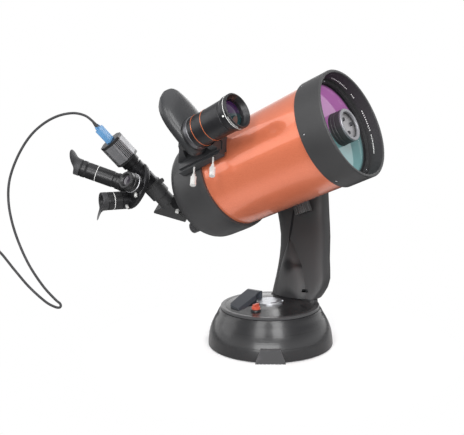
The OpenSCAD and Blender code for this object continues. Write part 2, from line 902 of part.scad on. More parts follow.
// ---- diagonal ----
nose_r = 15.9;
prism_a = 20;
prism_b = 44;
prism_half = 20;

module diagonal_body() {
    color(black)
        on_diagonal() difference() {
            union() {
                // prism housing
                translate([0, prism_half, 0]) rotate([90, 0, 0]) linear_extrude(2 * prism_half)
                    polygon([
                        [-prism_a, prism_a], [-prism_a, -prism_b + 3], [-prism_a + 3, -prism_b],
                        [-prism_a + 5, -prism_b], [prism_b, prism_a - 5], [prism_b, prism_a - 3], [prism_b - 3, prism_a]
                    ]);
                // nose towards the tube
                rotate([0, -90, 0]) cylinder(r = nose_r, h = 84);
                rotate([0, -90, 0]) cylinder(r = 19.5, h = 21.9);
                // output sleeve
                translate([0, 0, 15]) cylinder(r = 21, h = 40);
                translate([0, 0, 46]) cylinder(r = 25, h = 36);
                translate([0, 0, 78]) cylinder(r = 23, h = 8);
            }
            rotate([0, -90, 0]) cylinder(r = 13.5, h = 90);
            cylinder(r = 13.5, h = 90);
            translate([0, 0, 50]) cylinder(r = 16, h = 60);
            // pocket of the mirror
            mirror_slab(0.1);
            translate([0, 0, 78]) rotate([0, 0, 180]) rotate([0, 90, 0]) cylinder(r = 2.1, h = 40);
        }
}

module mirror_slab(grow) {
    rotate([0, -45, 0]) translate([-26 - grow, -16 - grow, -6 - grow])
        cube([52 + 2 * grow, 32 + 2 * grow, 6 + 2 * grow]);
}

module diagonal_mirror() {
    color(silver) on_diagonal() mirror_slab(0);
}

module diagonal_screw() {
    color(black) on_diagonal() rotate([0, 0, 180]) translate([0, 0, 78]) thumbscrew(16.1, 26, 39, 5.5);
}

// ---- turret ----
plate_at = 66;
head_at = 76.3;
head_thick = 9;
head_r = 60;
holder_end = 112;
holder_r = 20.5;

module turret_base() {
    color(black)
        difference() {
            union() {
                on_turret() rotate_extrude()
                    polygon([
                        [0, plate_at], [44, plate_at], [54, plate_at + 4], [57, plate_at + 7], [57, head_at - 0.1],
                        [0, head_at - 0.1]
                    ]);
                on_diagonal() translate([0, 0, 54]) cylinder(r = nose_r, h = 50);
                on_diagonal() translate([0, 0, 86.2]) cylinder(r = 22, h = 22);
            }
            on_diagonal() translate([0, 0, 40]) cylinder(r = 13.5, h = 120);
            // nothing stands above the plate
            on_turret() translate([0, 0, head_at - 0.1]) cylinder(r = 80, h = 60);
            on_turret() translate([0, 0, 60]) cylinder(r = 5.05, h = 40);
            // room for the spindle nut
            on_turret() translate([0, 0, 40]) cylinder(r = 8.6, h = plate_at - 40);
        }
}

module turret_head() {
    color(black)
        difference() {
            union() {
                on_turret() rotate_extrude()
                    polygon([
                        [0, head_at], [58, head_at], [head_r, head_at + 2], [head_r, head_at + 5],
                        [57, head_at + head_thick], [34, head_at + head_thick + 2], [20, head_at + 22], [0, head_at + 26]
                    ]);
                difference() {
                    for (k = [0 : 3]) on_port(k) {
                        translate([0, 0, 84]) cylinder(r = holder_r, h = holder_end - 84 - 6);
                        translate([0, 0, holder_end - 12]) cylinder(r = holder_r + 1.5, h = 12);
                    }
                    on_turret() translate([0, 0, 20]) cylinder(r = 90, h = head_at - 20);
                }
                // spindle and its nut
                on_turret() translate([0, 0, plate_at - 3]) cylinder(r = 5, h = 20);
                on_turret() translate([0, 0, plate_at - 6]) cylinder(r = 8, h = 5.9);
            }
            for (k = [0 : 3]) on_port(k) {
                translate([0, 0, 82]) cylinder(r = 13.5, h = 40);
                translate([0, 0, 92]) cylinder(r = 16, h = 40);
                rotate([0, 0, port_screw_turn[k]]) translate([12, 0, holder_end - 6]) rotate([0, 90, 0])
                    cylinder(r = 2.1, h = 14);
            }
        }
}

port_screw_turn = [60, 60, 60, -60];

module port_screws() {
    color(silver)
        for (k = [0 : 3]) on_port(k) rotate([0, 0, port_screw_turn[k]]) translate([0, 0, holder_end - 6])
            thumbscrew(16.1, 22.8, 33, 3.6);
}

// Eyepiece body: rows of [radius, distance]; the barrel fills the port
module eyepiece(outline, end, lens_r) {
    on_axis = concat(
        [[0, 94], [nose_r, 94], [nose_r, holder_end + 0.1]], outline, [[lens_r + 4, end], [lens_r, end - 5], [0, end - 6]]
    );
    rotate_extrude() polygon(on_axis);
}

module long_eyepiece() {
    color(black)
        on_port(1) eyepiece([
            [21, 112.1], [21, 124], [19.4, 125], [19.4, 132], [20.5, 134], [20.5, 175], [20, 175.5], [20, 178],
            [20.5, 178.5], [20.5, 200], [19.5, 202], [21.2, 206], [21.2, 214], [19.7, 218], [19.7, 229], [18.8, 230]
        ], 230, 12);
}

module short_eyepiece() {
    color(black)
        on_port(2) eyepiece([
            [21, 112.1], [22, 114], [22, 131], [21.4, 131.5], [21.4, 134], [22, 134.5], [22, 146], [20.5, 148],
            [20.5, 159], [19.5, 160]
        ], 160, 11);
}

module near_eyepiece() {
    color(black)
        on_port(3) eyepiece([
            [24.5, 112.1], [24.5, 117], [23, 118.5], [23, 128], [22, 129], [22, 138], [20, 141]
        ], 141, 12);
}

// Rubber eyecup with a side wing: a band that grows upwards and outwards on one side into a rounded tongue
module eyecup(r, z0, z1, flare, rise, turn) {
    count = 48;
    wall = 1.8;
    function wing(a) = max(0, cos(a - turn)) ^ 3.4;
    function band(dr, dz, at, gain) = [
        for (i = [0 : count - 1])
            let (a = 360 * i / count, w = wing(a) * gain, out = r + dr + flare * w ^ 1.3)
            [out * cos(a), out * sin(a), at + dz + rise * w]
    ];
    loop_loft([
        band(wall, 0, z0, 0), band(wall, 0, z1 - 4, 0), band(wall, -0.7, z1, 0.3), band(wall - 0.2, -0.4, z1, 0.65),
        band(wall - 0.5, -0.1, z1, 0.97), band(0.7, 0, z1, 1), band(0.4, -0.3, z1, 0.65), band(0.2, -0.6, z1, 0.3),
        band(0.1, 0, z1 - 4, 0), band(0.1, 0, z0, 0)
    ]);
}

module eyecups() {
    color(black) {
        on_port(1) eyecup(19.7, 219, 232, 23, 20, eyecup_turn_long);
        on_port(2) eyecup(20.5, 149, 162, 25, 16, eyecup_turn_short);
    }
}

eyecup_turn_long = 222;
eyecup_turn_short = 24;

// ---- camera ----
cam_front = 134;
cam_len = 62;
cam_half = 28.5;

module camera_body() {
    chamfer = 17;
    side = [
        [cam_half, cam_half - chamfer], [cam_half - chamfer, cam_half], [-cam_half + chamfer, cam_half],
        [-cam_half, cam_half - chamfer], [-cam_half, -cam_half + chamfer], [-cam_half + chamfer, -cam_half],
        [cam_half - chamfer, -cam_half], [cam_half, -cam_half + chamfer]
    ];
    color(silver)
        on_port(0) rotate([0, 0, camera_turn]) difference() {
            union() {
                translate([0, 0, cam_front]) linear_extrude(cam_len) polygon(side);
                translate([0, 0, 94]) cylinder(r = nose_r, h = 30);
                translate([0, 0, holder_end + 0.1]) cylinder(r = 19, h = cam_front - holder_end);
                translate([0, 0, 120]) cylinder(r = 23, h = cam_front - 120);
            }
            // cooling slots in the chamfered edges
            for (a = [45, 135, 225, 315]) rotate([0, 0, a])
                for (y = [-6, -2, 2, 6])
                    translate([cam_half - 2.6, y - 0.8, cam_front + 5]) cube([8, 1.6, cam_len - 10]);
            translate([0, 0, 90]) cylinder(r = 12, h = 40);
        }
}

camera_turn = 48;
plug_start = cam_front + cam_len;
plug_len = 40;
plug_wide = 24;
plug_deep = 13;

// Flat plug with a jackscrew on each side of the cable
module camera_plug() {
    color(sky)
        on_port(0) rotate([0, 0, camera_turn]) translate([0, 0, plug_start + 0.1]) union() {
            translate([-plug_wide / 2, -plug_deep / 2, 0]) cube([plug_wide, plug_deep, plug_len]);
            translate([-6, -5, plug_len - 1]) cube([12, 10, 6]);
            for (x = [-9, 9]) translate([x, 0, plug_len - 2]) cylinder(r = 2, h = 10);
        }
}

cable_r = 3;
cable_path = [
    [-380.8, -163.8, 501], [-388, -170.5, 513.5], [-404, -180, 527], [-428, -195, 533], [-456, -217, 527],
    [-482, -241, 509], [-505, -265, 479], [-524, -288, 433], [-535, -306, 380], [-535, -313, 330],
    [-524, -314, 278], [-506, -309, 224], [-483, -300, 173], [-455, -286, 126], [-431, -273, 96],
    [-418, -268, 85], [-415, -272, 78], [-424, -280, 80], [-446, -290, 92], [-480, -308, 126], [-512, -324, 167],
    [-541, -339, 207], [-566, -350, 226], [-592, -360, 226], [-614, -366, 200], [-628, -370, 150],
    [-638, -373, 90], [-648, -377, 40], [-664, -384, 12], [-688, -394, 4.5], [-716, -405, 4]
];

function path_at(u) =
    let (
        n = len(cable_path) - 1,
        i = min(floor(u), n - 1),
        f = u - i,
        a = cable_path[max(i - 1, 0)],
        b = cable_path[i],
        c = cable_path[i + 1],
        d = cable_path[min(i + 2, n)]
    )
    0.5 * (2 * b + (c - a) * f + (2 * a - 5 * b + 4 * c - d) * f ^ 2 + (3 * b - a - 3 * c + d) * f ^ 3);

module cable() {
    n = len(cable_path) - 1;
    per = 2;
    color(black) union() {
        loft([
            for (j = [0 : n * per])
                let (
                    u = j / per,
                    p = path_at(u),
                    raw = path_at(min(u + 0.05, n)) - path_at(max(u - 0.05, 0)),
                    dir = raw / norm(raw),
                    side_raw = cross(dir, [0.5, -0.8, 0.1]),
                    side = side_raw / norm(side_raw),
                    lift = cross(dir, side)
                )
                [for (i = [0 : 9]) p + cable_r * (cos(36 * i) * side + sin(36 * i) * lift)]
        ]);
        translate([-716, -405, 4]) rotate([0, 0, 202]) translate([-2, -6, -3.8]) cube([34, 12, 7.6]);
    }
}

base_shell();
base_plate();
base_feet();
azimuth_gear();
azimuth_bearing();
turntable();
battery_cover();
control_pod();
power_knob();
azimuth_motor();
azimuth_pinion();
arm_inner_cover();
arm_outer_cover();
arm_frame();
altitude_bearings();
altitude_motor();
altitude_pinion();
altitude_shaft();
altitude_gear();
saddle();
clamp_jaw();
clamp_knob();
dovetail_bar();
tube();
front_cell();
corrector_lens();
retaining_ring();
secondary_housing();
secondary_ring();
secondary_plate();
secondary_mirror();
collimation_screws();
primary_mirror();
mirror_carrier();
baffle_tube();
rear_cell();
focus_knob();
visual_back();
visual_back_screw();
finder_shoe();
finder_bracket();
finder_screw_rear();
finder_screw_front();
finder_body();
finder_barrel();
finder_rings();
finder_lens();
diagonal_body();
diagonal_mirror();
diagonal_screw();
turret_base();
turret_head();
port_screws();
long_eyepiece();
short_eyepiece();
near_eyepiece();
eyecups();
camera_body();
camera_plug();
cable();
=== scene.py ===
import math
import bpy
import bmesh
from mathutils import Matrix, Vector


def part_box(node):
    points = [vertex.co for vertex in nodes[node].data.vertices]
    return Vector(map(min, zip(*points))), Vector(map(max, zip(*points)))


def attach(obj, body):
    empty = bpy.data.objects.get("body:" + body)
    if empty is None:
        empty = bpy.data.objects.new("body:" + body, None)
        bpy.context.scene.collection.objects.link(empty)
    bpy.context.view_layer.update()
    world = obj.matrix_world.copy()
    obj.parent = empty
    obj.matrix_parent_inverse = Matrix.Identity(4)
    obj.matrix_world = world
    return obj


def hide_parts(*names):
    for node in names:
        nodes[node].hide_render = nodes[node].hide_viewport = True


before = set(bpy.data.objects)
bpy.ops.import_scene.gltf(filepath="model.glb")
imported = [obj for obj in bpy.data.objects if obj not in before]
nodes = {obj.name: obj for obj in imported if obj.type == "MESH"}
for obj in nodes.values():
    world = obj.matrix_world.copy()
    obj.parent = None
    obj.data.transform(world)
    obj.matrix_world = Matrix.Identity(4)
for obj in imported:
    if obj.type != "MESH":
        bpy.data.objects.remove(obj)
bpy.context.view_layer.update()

# ---- the object's own axes, in metres ----
# the tube points up by TILT; the finder and the diagonal lean from its top towards the open side
TILT = math.radians(21.6)
FORWARD = Vector((math.cos(TILT), 0, math.sin(TILT)))
UP = Vector((-math.sin(TILT), 0, math.cos(TILT)))
OPEN_SIDE = Vector((0, -1, 0))
TUBE_CENTRE = Vector((0, 0.0023, 0.4143))
FINDER_ANGLE = math.radians(60)
FINDER_OUT = math.cos(FINDER_ANGLE) * UP + math.sin(FINDER_ANGLE) * OPEN_SIDE
DIAGONAL_ROLL = math.radians(37)
DIAGONAL_OUT = math.cos(DIAGONAL_ROLL) * UP + math.sin(DIAGONAL_ROLL) * OPEN_SIDE
MIRROR_AT = TUBE_CENTRE - 0.322 * FORWARD
HEAD_AT = MIRROR_AT + 0.034 * DIAGONAL_OUT
FINDER_CENTRE = TUBE_CENTRE + 0.18 * FINDER_OUT
FINDER_SIDE = FORWARD.cross(FINDER_OUT)


def turned(axis, degrees):
    return Matrix.Rotation(math.radians(degrees), 3, axis)


# the turret's frame and its four ports, as columns X, Y, Z; each port splays from the spin axis
DIAGONAL_X = -FORWARD
DIAGONAL = Matrix((DIAGONAL_X, DIAGONAL_OUT.cross(DIAGONAL_X), DIAGONAL_OUT)).transposed()
TURRET_TURN, PORT_SPLAY, CAMERA_TURN = 59.4, 23.9, 48
TURRET = DIAGONAL @ turned("Z", TURRET_TURN) @ turned("Y", PORT_SPLAY)
SPIN_AXIS = TURRET.col[2].copy()
PORTS = [TURRET @ turned("Z", 180 + 90 * k) @ turned("Y", PORT_SPLAY) for k in range(4)]
PORT_AXIS = [m.col[2].copy() for m in PORTS]
CAMERA_CASE = PORTS[0] @ turned("Z", CAMERA_TURN)


def round_tube(degrees):
    """The direction out of the tube's axis at an angle from its top, towards the open side."""
    a = math.radians(degrees)
    return math.cos(a) * UP + math.sin(a) * OPEN_SIDE


# ---- materials ----
class Look:
    """A node material on one Principled shader, built up layer by layer."""

    INPUTS = {"colour": "Base Color", "rough": "Roughness", "metal": "Metallic", "coat": "Coat Weight",
              "coat_rough": "Coat Roughness", "specular": "Specular IOR Level", "sheen": "Sheen Weight",
              "ior": "IOR", "emission": "Emission Color", "glow": "Emission Strength"}

    def __init__(self, name, rough=0.5, metal=0.0):
        self.mat = bpy.data.materials.new(name)
        self.mat.use_nodes = True
        self.tree = self.mat.node_tree
        self.shader = next(n for n in self.tree.nodes if n.type == "BSDF_PRINCIPLED")
        self.coords = self.node("ShaderNodeTexCoord").outputs["Object"]
        self.shader.inputs["Roughness"].default_value = rough
        self.shader.inputs["Metallic"].default_value = metal

    def node(self, kind, **settings):
        n = self.tree.nodes.new(kind)
        for key, value in settings.items():
            setattr(n, key, value)
        return n

    def link(self, source, target):
        self.tree.links.new(source, target)

    def feed(self, value, target):
        if hasattr(value, "is_output"):
            self.link(value, target)
        else:
            target.default_value = value

    def math(self, operation, a, b=0.0):
        n = self.node("ShaderNodeMath", operation=operation)
        self.feed(a, n.inputs[0])
        self.feed(b, n.inputs[1])
        return n.outputs[0]

    def noise(self, scale, detail=2.0, stretch=None):
        """Noise of about scale cells a metre, drawn out along a direction if one is given."""
        n = self.node("ShaderNodeTexNoise")
        self.link(self.stretched(stretch) if stretch else self.coords, n.inputs["Vector"])
        n.inputs["Scale"].default_value = scale
        n.inputs["Detail"].default_value = detail
        return n.outputs["Fac"]

    def stretched(self, direction, ratio=0.04):
        """Coordinates squeezed along a direction, so that a texture runs along it."""
        d = Vector(direction).normalized()
        dot = self.dot(d)
        scale = self.node("ShaderNodeVectorMath", operation="SCALE")
        scale.inputs[0].default_value = d
        self.link(self.math("MULTIPLY", dot, ratio - 1), scale.inputs["Scale"])
        add = self.node("ShaderNodeVectorMath", operation="ADD")
        self.link(self.coords, add.inputs[0])
        self.link(scale.outputs[0], add.inputs[1])
        return add.outputs[0]

    def dot(self, direction, origin=(0, 0, 0)):
        """Distance along a direction, from an origin."""
        sub = self.node("ShaderNodeVectorMath", operation="SUBTRACT")
        self.link(self.coords, sub.inputs[0])
        sub.inputs[1].default_value = origin
        n = self.node("ShaderNodeVectorMath", operation="DOT_PRODUCT")
        self.link(sub.outputs[0], n.inputs[0])
        n.inputs[1].default_value = direction
        return n.outputs["Value"]

    def radius(self, origin, direction):
        """Distance from an axis."""
        sub = self.node("ShaderNodeVectorMath", operation="SUBTRACT")
        self.link(self.coords, sub.inputs[0])
        sub.inputs[1].default_value = origin
        cross = self.node("ShaderNodeVectorMath", operation="CROSS_PRODUCT")
        self.link(sub.outputs[0], cross.inputs[0])
        cross.inputs[1].default_value = direction
        length = self.node("ShaderNodeVectorMath", operation="LENGTH")
        self.link(cross.outputs[0], length.inputs[0])
        return length.outputs["Value"]

    def between(self, value, low, high, soft):
        """1 where the value is between low and high, with a soft edge."""
        a = self.span(value, low - soft, low + soft)
        b = self.span(value, high + soft, high - soft)
        return self.math("MULTIPLY", a, b)

    def span(self, value, low, high, out_low=0.0, out_high=1.0):
        """Maps low...high to out_low...out_high, and holds still beyond them."""
        n = self.node("ShaderNodeMapRange")
        self.feed(value, n.inputs["Value"])
        n.inputs["From Min"].default_value = low
        n.inputs["From Max"].default_value = high
        n.inputs["To Min"].default_value = out_low
        n.inputs["To Max"].default_value = out_high
        return n.outputs[0]

    def mix(self, factor, a, b):
        n = self.node("ShaderNodeMix", data_type="RGBA")
        self.feed(factor, n.inputs[0])
        self.feed(colour(a), n.inputs[6])
        self.feed(colour(b), n.inputs[7])
        return n.outputs[2]

    def mix_value(self, factor, a, b):
        n = self.node("ShaderNodeMix", data_type="FLOAT")
        self.feed(factor, n.inputs[0])
        self.feed(a, n.inputs[2])
        self.feed(b, n.inputs[3])
        return n.outputs[0]

    def rounded(self, radius=0.0007):
        """A normal that turns smoothly over sharp edges, and how far it turns: 0 on a flat, 1 on an edge."""
        if not hasattr(self, "edge"):
            bevel = self.node("ShaderNodeBevel", samples=4)
            bevel.inputs["Radius"].default_value = radius
            flat = self.node("ShaderNodeNewGeometry").outputs["Normal"]
            dot = self.node("ShaderNodeVectorMath", operation="DOT_PRODUCT")
            self.link(bevel.outputs[0], dot.inputs[0])
            self.link(flat, dot.inputs[1])
            self.edge = (bevel.outputs[0], self.span(dot.outputs["Value"], 0.99, 0.80))
        return self.edge

    def bump(self, *layers):
        """Each layer is (height, strength, distance in metres)."""
        normal = self.rounded()[0]
        for height, strength, distance in layers:
            n = self.node("ShaderNodeBump")
            n.inputs["Strength"].default_value = strength
            n.inputs["Distance"].default_value = distance
            self.link(height, n.inputs["Height"])
            self.link(normal, n.inputs["Normal"])
            normal = n.outputs[0]
        self.link(normal, self.shader.inputs["Normal"])

    def set(self, **values):
        for key, value in values.items():
            if key in ("colour", "emission"):
                value = colour(value)
            self.feed(value, self.shader.inputs[self.INPUTS[key]])
        return self

    def fed(self, key):
        """What feeds a shader input so far."""
        return self.shader.inputs[self.INPUTS[key]].links[0].from_socket

    def paint_over(self, where, tone):
        self.set(colour=self.mix(where, self.fed("colour"), tone))


def colour(value):
    """Adds full alpha to a plain colour, and passes a socket through."""
    if isinstance(value, tuple) and len(value) == 3:
        return (*value, 1.0)
    return value


def moulded(name, tone, rough, grain, depth, coat=0.0):
    """Moulded plastic: a fine spark-eroded grain, a slow drift in tone and sheen, and edges lightened as wear
    and painted highlight.
    """
    look = Look(name)
    drift = look.noise(9, 3)
    fine = look.noise(grain, 3)
    pale = tuple(min(1.0, c * 1.25 + 0.004) for c in tone)
    dark = tuple(c * 0.86 for c in tone)
    worn_and_highlit = tuple(min(1.0, c * 1.7 + 0.012) for c in tone)
    # edges are lightened in patches: partly wear, partly a painted highlight
    edge_wear_and_highlight = look.math("MULTIPLY", look.rounded()[1], look.span(look.noise(70, 3), 0.35, 0.65, 0.15, 0.8))
    look.set(colour=look.mix(edge_wear_and_highlight, look.mix(drift, dark, pale), worn_and_highlit), coat=coat, coat_rough=0.12)
    look.set(rough=look.span(look.math("ADD", look.math("MULTIPLY", fine, 0.5), drift), 0.35, 1.15,
                             rough - 0.06, rough + 0.08))
    look.bump((fine, depth, 0.0002), (look.noise(140, 2), 0.08, 0.0004))
    return look


def machined(name, tone, axis, rough, metal=1.0):
    """Turned metal: fine rings round an axis, and edges lightened as wear and painted highlight."""
    look = Look(name, rough, metal)
    rings = look.noise(2600, 2, axis)
    smudge = look.noise(30, 3)
    # edges are lightened: partly wear, partly a painted highlight
    edge_wear_and_highlight = look.math("MULTIPLY", look.rounded()[1], 0.6)
    look.set(colour=look.mix(edge_wear_and_highlight, look.mix(smudge, tuple(c * 0.86 for c in tone),
                                           tuple(min(1.0, c * 1.08) for c in tone)),
                             tuple(min(1.0, c * 1.5 + 0.02) for c in tone)))
    look.set(rough=look.span(look.math("ADD", look.math("MULTIPLY", rings, 0.6), smudge), 0.5, 1.1,
                             rough - 0.08, rough + 0.12))
    look.bump((rings, 0.12, 0.0001))
    return look


def steel(name, tone, rough):
    """Metal with a fine upright brushing."""
    look = Look(name, rough, 1.0)
    brushed = look.noise(1800, 3, (0, 0, 1))
    smudge = look.noise(60, 3)
    look.set(colour=look.mix(smudge, tuple(c * 0.8 for c in tone), tone))
    look.set(rough=look.span(look.math("ADD", brushed, smudge), 0.6, 1.4, rough - 0.08, rough + 0.14))
    look.bump((brushed, 0.1, 0.0001))
    return look


def cast(name, tone):
    """Cast metal with a rough skin."""
    look = Look(name, 0.55, 0.9)
    rough_skin = look.noise(420, 4)
    look.set(colour=look.mix(look.noise(14, 3), tuple(c * 0.8 for c in tone), tone))
    look.set(rough=look.span(rough_skin, 0.3, 0.7, 0.45, 0.7))
    look.bump((rough_skin, 0.5, 0.0004))
    return look


def rubber(name, tone):
    """Dull rubber with a little dust."""
    look = Look(name, 0.62)
    fine = look.noise(1500, 3)
    dust = look.noise(38, 4)
    look.set(colour=look.mix(look.span(dust, 0.5, 0.8), tone, tuple(c * 2.2 + 0.006 for c in tone)))
    look.set(rough=look.span(fine, 0.2, 0.8, 0.5, 0.75), sheen=0.15)
    look.bump((fine, 0.08, 0.00015))
    return look


def brass(name):
    """Cut brass with tool marks."""
    look = Look(name, 0.32, 1.0)
    marks = look.noise(700, 3)
    look.set(colour=look.mix(look.noise(50, 3), (0.48, 0.33, 0.12), (0.72, 0.54, 0.24)))
    look.set(rough=look.span(marks, 0.3, 0.7, 0.24, 0.44))
    look.bump((marks, 0.12, 0.0001))
    return look


def orange_paint():
    """Metallic paint with flakes under a clear coat, and matt black inside the tube."""
    look = Look("orange_metallic_paint")
    flake = look.noise(2600, 1)
    cloud = look.span(look.noise(7, 2), 0.3, 0.7, 0.0, 0.25)
    inside = look.span(look.radius(TUBE_CENTRE, FORWARD), 0.1103, 0.1107, 1.0, 0.0)
    flaked = look.mix(look.span(flake, 0.35, 0.65), (0.66, 0.145, 0.066), (0.92, 0.29, 0.155))
    clouded = look.mix(cloud, flaked, (0.72, 0.165, 0.075))
    look.set(colour=look.mix(inside, clouded, (0.012, 0.012, 0.012)))
    look.set(metal=look.mix_value(inside, 0.44, 0.0))
    look.set(rough=look.mix_value(inside, look.span(flake, 0.3, 0.7, 0.27, 0.38), 0.8))
    look.set(coat=look.mix_value(inside, 1.0, 0.0), coat_rough=0.035)
    look.bump((flake, 0.06, 0.0001), (look.noise(55, 2), 0.02, 0.001))
    return look


# heights of the pointed fairing at the foot of the arm: its foot, a level part of the way up, and its tip
FAIRING_LEVELS = (0.094, 0.165, 0.222)
# its centre and half width at those heights, along X and along Y
FAIRING_X = ((0.013, -0.003, -0.025), (0.050, 0.031, 0.003))
FAIRING_Y = ((0.081, 0.108, 0.134), (0.027, 0.024, 0.012))


def on_fairing(look):
    """1 on the fairing, 0 on the rest of the arm: inside an ellipse that narrows with height."""
    foot, level, tip = FAIRING_LEVELS
    height = look.dot((0, 0, 1))

    def taper(at_foot, at_level, at_tip):
        rise = look.span(height, level, tip, 0.0, at_tip - at_level)
        return look.math("ADD", look.span(height, foot, level, at_foot, at_level), rise)

    squares = []
    for axis, (centre, half) in (((1, 0, 0), FAIRING_X), ((0, 1, 0), FAIRING_Y)):
        offset = look.math("SUBTRACT", look.dot(axis), taper(*centre))
        share = look.math("DIVIDE", offset, taper(*half))
        squares.append(look.math("MULTIPLY", share, share))
    return look.span(look.math("ADD", *squares), 1.06, 1.16, 1.0, 0.0)


def arm_moulding():
    """Satin black, with a smoother and darker fairing."""
    look = moulded("arm_moulding", (0.026, 0.026, 0.027), 0.54, 1000, 0.25)
    fairing = on_fairing(look)
    look.paint_over(fairing, (0.014, 0.014, 0.015))
    look.set(rough=look.mix_value(fairing, look.fed("rough"), 0.30))
    look.set(specular=look.mix_value(fairing, 0.5, 0.25))
    return look


def base_moulding():
    """Black shell with a dark seam round it."""
    look = moulded("base_moulding", (0.009, 0.009, 0.010), 0.27, 1000, 0.15, 0.2)
    look.paint_over(look.between(look.dot((0, 0, 1)), 0.0540, 0.0550, 0.0003), (0.004, 0.004, 0.004))
    return look


def turntable_moulding():
    """Gloss black, with a paler outer ring."""
    look = moulded("gloss_black_moulding", (0.012, 0.012, 0.013), 0.24, 700, 0.05, 0.25)
    look.paint_over(look.span(look.radius((0, 0, 0), (0, 0, 1)), 0.1020, 0.1036), (0.045, 0.045, 0.047))
    return look


def pale_nickel():
    look = steel("pale_nickel", (0.74, 0.74, 0.72), 0.38)
    return look.set(metal=0.35)


def blue_moulding():
    """Plain blue plastic with tight edges."""
    look = Look("blue_moulding", 0.5)
    look.rounded(0.0002)
    look.set(colour=look.mix(look.noise(60, 3), (0.095, 0.25, 0.46), (0.115, 0.29, 0.53)),
             rough=look.span(look.noise(500, 2), 0.3, 0.7, 0.42, 0.56))
    look.bump((look.noise(700, 2), 0.03, 0.0001))
    return look


def copper_orange():
    look = moulded("copper_orange_ring", (0.60, 0.155, 0.058), 0.30, 900, 0.1, 0.3)
    return look.set(metal=0.35)


def mirror_coat():
    look = Look("mirror_coat", 0.02, 1.0)
    look.set(colour=look.mix(look.noise(22, 2), (0.86, 0.87, 0.9), (0.93, 0.94, 0.96)))
    look.set(rough=look.span(look.noise(400, 3), 0.4, 0.8, 0.015, 0.05))
    return look


def printed(name, low, high, patches, grain, depth):
    """Matt print in a tone between two."""
    look = Look(name, 0.5)
    look.set(colour=look.mix(look.noise(patches, 2), low, high))
    look.bump((look.noise(grain, 2), depth, 0.0001))
    return look


paint = orange_paint()
satin_black = moulded("satin_black_casting", (0.030, 0.030, 0.031), 0.44, 1100, 0.3)
arm_plastic = arm_moulding()
base_plastic = base_moulding()
gloss_black = turntable_moulding()
graphite = moulded("graphite_moulding", (0.026, 0.031, 0.040), 0.34, 1000, 0.25, 0.1)
finder_shell = moulded("finder_moulding", (0.025, 0.026, 0.028), 0.40, 900, 0.2, 0.1)
knob_orange = moulded("signal_orange_moulding", (0.46, 0.075, 0.04), 0.36, 900, 0.15, 0.1)
black_rubber = rubber("black_rubber", (0.022, 0.022, 0.024))
foot_rubber = rubber("foot_rubber", (0.035, 0.035, 0.037))
silver = machined("silver_turned", (0.62, 0.63, 0.66), FORWARD, 0.3)
grey_ring = machined("grey_turned_ring", (0.34, 0.34, 0.36), FORWARD, 0.36, 0.7)
grey_plate = machined("grey_turned_plate", (0.46, 0.45, 0.46), FORWARD, 0.34, 0.7)
dark_steel = steel("dark_steel", (0.10, 0.10, 0.11), 0.36)
chrome = steel("bright_steel", (0.78, 0.78, 0.8), 0.18)
nickel = pale_nickel()
dull_steel = steel("bare_steel", (0.5, 0.5, 0.52), 0.34)
cast_metal = cast("cast_aluminium", (0.36, 0.37, 0.39))
gear_brass = brass("gear_brass")
anodised = machined("black_anodised", (0.028, 0.028, 0.030), FORWARD, 0.34, 0.6)
turned_black = machined("turned_black", (0.022, 0.022, 0.024), SPIN_AXIS, 0.3, 0.5)
blue_plug = blue_moulding()
ring_orange = copper_orange()
mirror = mirror_coat()


def glass_with_painted_sheen(name, origin, direction, reach, violet, teal, strength, shade_shift):
    """Glass over a dark interior, with a painted coating reflection that glows: violet above, green below,
    and a painted shadow at the far side.
    """
    look = Look(name, 0.03)
    height = look.dot(UP, origin)
    drift = look.math("MULTIPLY", look.math("SUBTRACT", look.noise(18, 2), 0.5), 0.16 * reach)
    across = look.math("ADD", height, drift)
    # violet and green are a painted reflection of the coating; the glass also glows with it
    first = look.mix(look.span(across, 0.1 * reach, 0.95 * reach), tuple(0.8 * c for c in violet), violet)
    second = look.mix(look.span(across, -0.95 * reach, -0.1 * reach), teal, tuple(0.45 * c for c in teal))
    painted_sheen = look.mix(look.span(across, -0.10 * reach, 0.06 * reach), second, first)
    lit = look.radius(Vector(origin) + shade_shift * OPEN_SIDE, direction)
    shadow = look.span(lit, 0.90 * reach, 0.97 * reach)
    painted_sheen = look.mix(shadow, painted_sheen, (0.003, 0.003, 0.004))
    look.set(colour=painted_sheen, ior=1.5, coat=1.0, coat_rough=0.01, emission=painted_sheen, glow=strength)
    look.set(rough=look.span(look.noise(300, 3), 0.3, 0.8, 0.03, 0.07))
    return look


corrector = glass_with_painted_sheen(
    "corrector_painted_sheen", TUBE_CENTRE, FORWARD, 0.105, (0.25, 0.085, 0.235), (0.11, 0.22, 0.225), 0.8, 0.009)
finder_glass = glass_with_painted_sheen(
    "finder_lens_painted_sheen", FINDER_CENTRE, FORWARD, 0.030, (0.034, 0.011, 0.055), (0.008, 0.042, 0.048), 0.2,
    0.002)
eye_glass = glass_with_painted_sheen(
    "eye_lens_painted_sheen", HEAD_AT, SPIN_AXIS, 0.2, (0.012, 0.006, 0.016), (0.004, 0.012, 0.014), 0.1, 0.0)


def banded(name, base, origin, axis, bands, rough=0.34, metal=0.2):
    """A turned barrel with painted or bright rings: bands are (from, to, colour, metallic)."""
    look = machined(name, base, axis, rough, metal)
    along = look.dot(axis, origin)
    tone = look.fed("colour")
    metallic = metal
    for low, high, shade, shine in bands:
        here = look.between(along, low, high, 0.00015)
        tone = look.mix(here, tone, shade)
        metallic = look.mix_value(here, metallic, shine)
    look.set(colour=tone, metal=metallic)
    return look


WHITE_MARK = (0.78, 0.78, 0.76)
BARREL_BLACK = (0.02, 0.02, 0.021)


